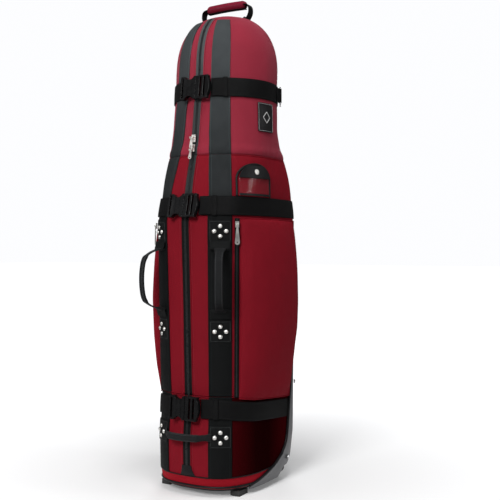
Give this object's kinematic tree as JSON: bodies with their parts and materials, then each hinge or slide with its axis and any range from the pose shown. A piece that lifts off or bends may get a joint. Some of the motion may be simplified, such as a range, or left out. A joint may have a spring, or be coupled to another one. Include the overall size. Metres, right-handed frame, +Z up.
{
  "type": "golf travel case",
  "caption": "Tall wheeled soft golf travel case with a domed hood, zipped front panels, compression straps, side pockets, carry handles and an inner support pole.",
  "frame": {"origin": "on the floor under the middle of the body", "axes": "+Z up, main zip towards -Y, moulded back and wheels towards +Y, +X to the right of someone facing the back"},
  "size_m": [0.3968, 0.4375, 1.3325],
  "materials": {
    "aluminium": "drawn tube",
    "buckle_plastic": "fine-grained acetal",
    "handle_wrap": "padded cloth wrap",
    "hood_cloth": "woven nylon over foam, slight sheen",
    "leatherette": "black leatherette",
    "moulded_plastic": "satin moulded plastic",
    "red_cloth": "woven ballistic nylon",
    "red_plastic": "moulded plastic",
    "rubber": "moulded rubber",
    "steel": "bright steel",
    "tyre": "cast urethane",
    "webbing": "ribbed nylon webbing",
    "wheel_core": "moulded nylon",
    "zip_metal": "plated cast zinc"
  },
  "bodies": {
    "case": {"moulded_plate": "moulded_plastic", "base_pan": "moulded_plastic", "base_gusset": "red_cloth", "front_lower_panel": "red_cloth", "body_shell": "red_cloth", "hood_shell": "hood_cloth", "hood_crown": "hood_cloth", "pocket_left": "red_cloth", "pocket_right": "red_cloth", "pocket_zips": "webbing", "wheel_axles": "steel", "front_feet": "rubber", "plate_screws": "steel", "compression_straps": "webbing", "bottom_buckle_socket": "buckle_plastic", "lower_webbings": "webbing", "lower_handle_rivets": "steel", "lower_zip": "webbing", "id_pocket": "leatherette", "maker_patch": "leatherette", "pole_lower_tube": "aluminium", "pole_foot": "red_plastic", "pole_lower_collar": "red_plastic"},
    "left_flap": {"left_flap_panel": "red_cloth", "left_webbing": "webbing", "left_zip_half": "webbing", "left_handle_rivets": "steel", "left_strap_ends": "webbing", "top_buckle_socket": "buckle_plastic", "middle_buckle_socket": "buckle_plastic"},
    "right_flap": {"right_flap_panel": "red_cloth", "right_webbing": "webbing", "right_zip_half": "webbing", "right_handle_rivets": "steel", "right_strap_ends": "webbing"},
    "pole_middle": {"pole_middle_tube": "aluminium", "pole_upper_collar": "red_plastic"},
    "pole_top": {"pole_upper_tube": "aluminium", "pole_dome": "red_plastic"},
    "wheel_left": {"wheel_core_left": "wheel_core", "wheel_tyre_left": "tyre"},
    "wheel_right": {"wheel_core_right": "wheel_core", "wheel_tyre_right": "tyre"},
    "top_buckle_plug": {"top_buckle_plug": "buckle_plastic"},
    "middle_buckle_plug": {"middle_buckle_plug": "buckle_plastic"},
    "bottom_buckle_plug": {"bottom_buckle_plug": "buckle_plastic"},
    "carry_handle_left": {"carry_handle_left": "webbing"},
    "carry_handle_right": {"carry_handle_right": "webbing"},
    "lower_handle": {"lower_handle": "webbing"},
    "top_handle": {"top_handle": "handle_wrap"},
    "upper_slider": {"upper_slider": "zip_metal"},
    "lower_slider": {"lower_slider": "zip_metal"},
    "upper_pull": {"upper_pull": "zip_metal"},
    "lower_pull": {"lower_pull": "zip_metal"},
    "pocket_slider_left": {"pocket_slider_left": "zip_metal"},
    "pocket_slider_right": {"pocket_slider_right": "zip_metal"},
    "pocket_pull_left": {"pocket_pull_left": "zip_metal"},
    "pocket_pull_right": {"pocket_pull_right": "zip_metal"},
    "id_flap": {"id_flap": "leatherette"},
    "strap_ring": {"strap_ring": "steel"}
  },
  "joints": [
    {"name": "left_flap_open", "type": "hinge", "parent": "case", "child": "left_flap", "pos_m": [-0.1303, -0.1668, 0.262], "axis": [-0.0246, -0.0315, -0.9992], "range_deg": [0, 74.5]},
    {"name": "right_flap_open", "type": "hinge", "parent": "case", "child": "right_flap", "pos_m": [0.1303, -0.1668, 0.262], "axis": [-0.0246, 0.0315, 0.9992], "range_deg": [0, 74.5]},
    {"name": "carry_handle_left_swing", "type": "hinge", "parent": "left_flap", "child": "carry_handle_left", "pos_m": [-0.09788, -0.18409, 0.563], "axis": [0, 0, 1], "range_deg": [-50, 50]},
    {"name": "carry_handle_right_swing", "type": "hinge", "parent": "right_flap", "child": "carry_handle_right", "pos_m": [0.09788, -0.18409, 0.563], "axis": [0, 0, 1], "range_deg": [-50, 50]},
    {"name": "lower_handle_swing", "type": "hinge", "parent": "case", "child": "lower_handle", "pos_m": [0, -0.18945, 0.158], "axis": [1, 0, 0], "range_deg": [-25, 35]},
    {"name": "top_handle_swing", "type": "hinge", "parent": "case", "child": "top_handle", "pos_m": [0, 0.008, 1.29], "axis": [1, 0, 0], "range_deg": [-60, 60]},
    {"name": "wheel_left_spin", "type": "hinge", "parent": "case", "child": "wheel_left", "pos_m": [-0.112, 0.072, 0.036], "axis": [1, 0, 0], "continuous": true},
    {"name": "wheel_right_spin", "type": "hinge", "parent": "case", "child": "wheel_right", "pos_m": [0.112, 0.072, 0.036], "axis": [1, 0, 0], "continuous": true},
    {"name": "top_buckle_release", "type": "slide", "parent": "right_flap", "child": "top_buckle_plug", "axis": [1, 0, 0], "range_m": [0, 0.04]},
    {"name": "middle_buckle_release", "type": "slide", "parent": "right_flap", "child": "middle_buckle_plug", "axis": [1, 0, 0], "range_m": [0, 0.04]},
    {"name": "bottom_buckle_release", "type": "slide", "parent": "case", "child": "bottom_buckle_plug", "axis": [1, 0, 0], "range_m": [0, 0.04]},
    {"name": "upper_slider_run", "type": "slide", "parent": "left_flap", "child": "upper_slider", "axis": [0, 0.1125, 0.9937], "range_m": [0, 0.085]},
    {"name": "lower_slider_run", "type": "slide", "parent": "left_flap", "child": "lower_slider", "axis": [0, 0.2263, 0.9741], "range_m": [-0.078, 0]},
    {"name": "upper_pull_swing", "type": "hinge", "parent": "upper_slider", "child": "upper_pull", "pos_m": [0, -0.16945, 0.93527], "axis": [1, 0, 0], "range_deg": [-150, 0]},
    {"name": "lower_pull_swing", "type": "hinge", "parent": "lower_slider", "child": "lower_pull", "pos_m": [0, -0.17294, 0.90315], "axis": [1, 0, 0], "range_deg": [-110, 0]},
    {"name": "pocket_slider_left_run", "type": "slide", "parent": "case", "child": "pocket_slider_left", "axis": [0.0117, 0.0136, -0.9998], "range_m": [0, 0.38]},
    {"name": "pocket_pull_left_swing", "type": "hinge", "parent": "pocket_slider_left", "child": "pocket_pull_left", "pos_m": [-0.13052, -0.15229, 0.706], "axis": [-0.7593, 0.6508, 0], "range_deg": [0, 120]},
    {"name": "pocket_slider_right_run", "type": "slide", "parent": "case", "child": "pocket_slider_right", "axis": [-0.0117, 0.0136, -0.9998], "range_m": [0, 0.38]},
    {"name": "pocket_pull_right_swing", "type": "hinge", "parent": "pocket_slider_right", "child": "pocket_pull_right", "pos_m": [0.13052, -0.15229, 0.706], "axis": [-0.7593, -0.6508, 0], "range_deg": [0, 120]},
    {"name": "id_flap_open", "type": "hinge", "parent": "case", "child": "id_flap", "pos_m": [0.1501, -0.0832, 0.785], "axis": [0.4848, 0.8746, 0], "range_deg": [0, 70]},
    {"name": "strap_ring_swing", "type": "hinge", "parent": "case", "child": "strap_ring", "pos_m": [0.14022, 0.0621, 1.069], "axis": [0, 0, 1], "range_deg": [-100, 0]},
    {"name": "pole_middle_run", "type": "slide", "parent": "case", "child": "pole_middle", "axis": [0, 0, 1], "range_m": [-0.139, 0]},
    {"name": "pole_top_run", "type": "slide", "parent": "pole_middle", "child": "pole_top", "axis": [0, 0, 1], "range_m": [-0.12, 0]}
  ]
}
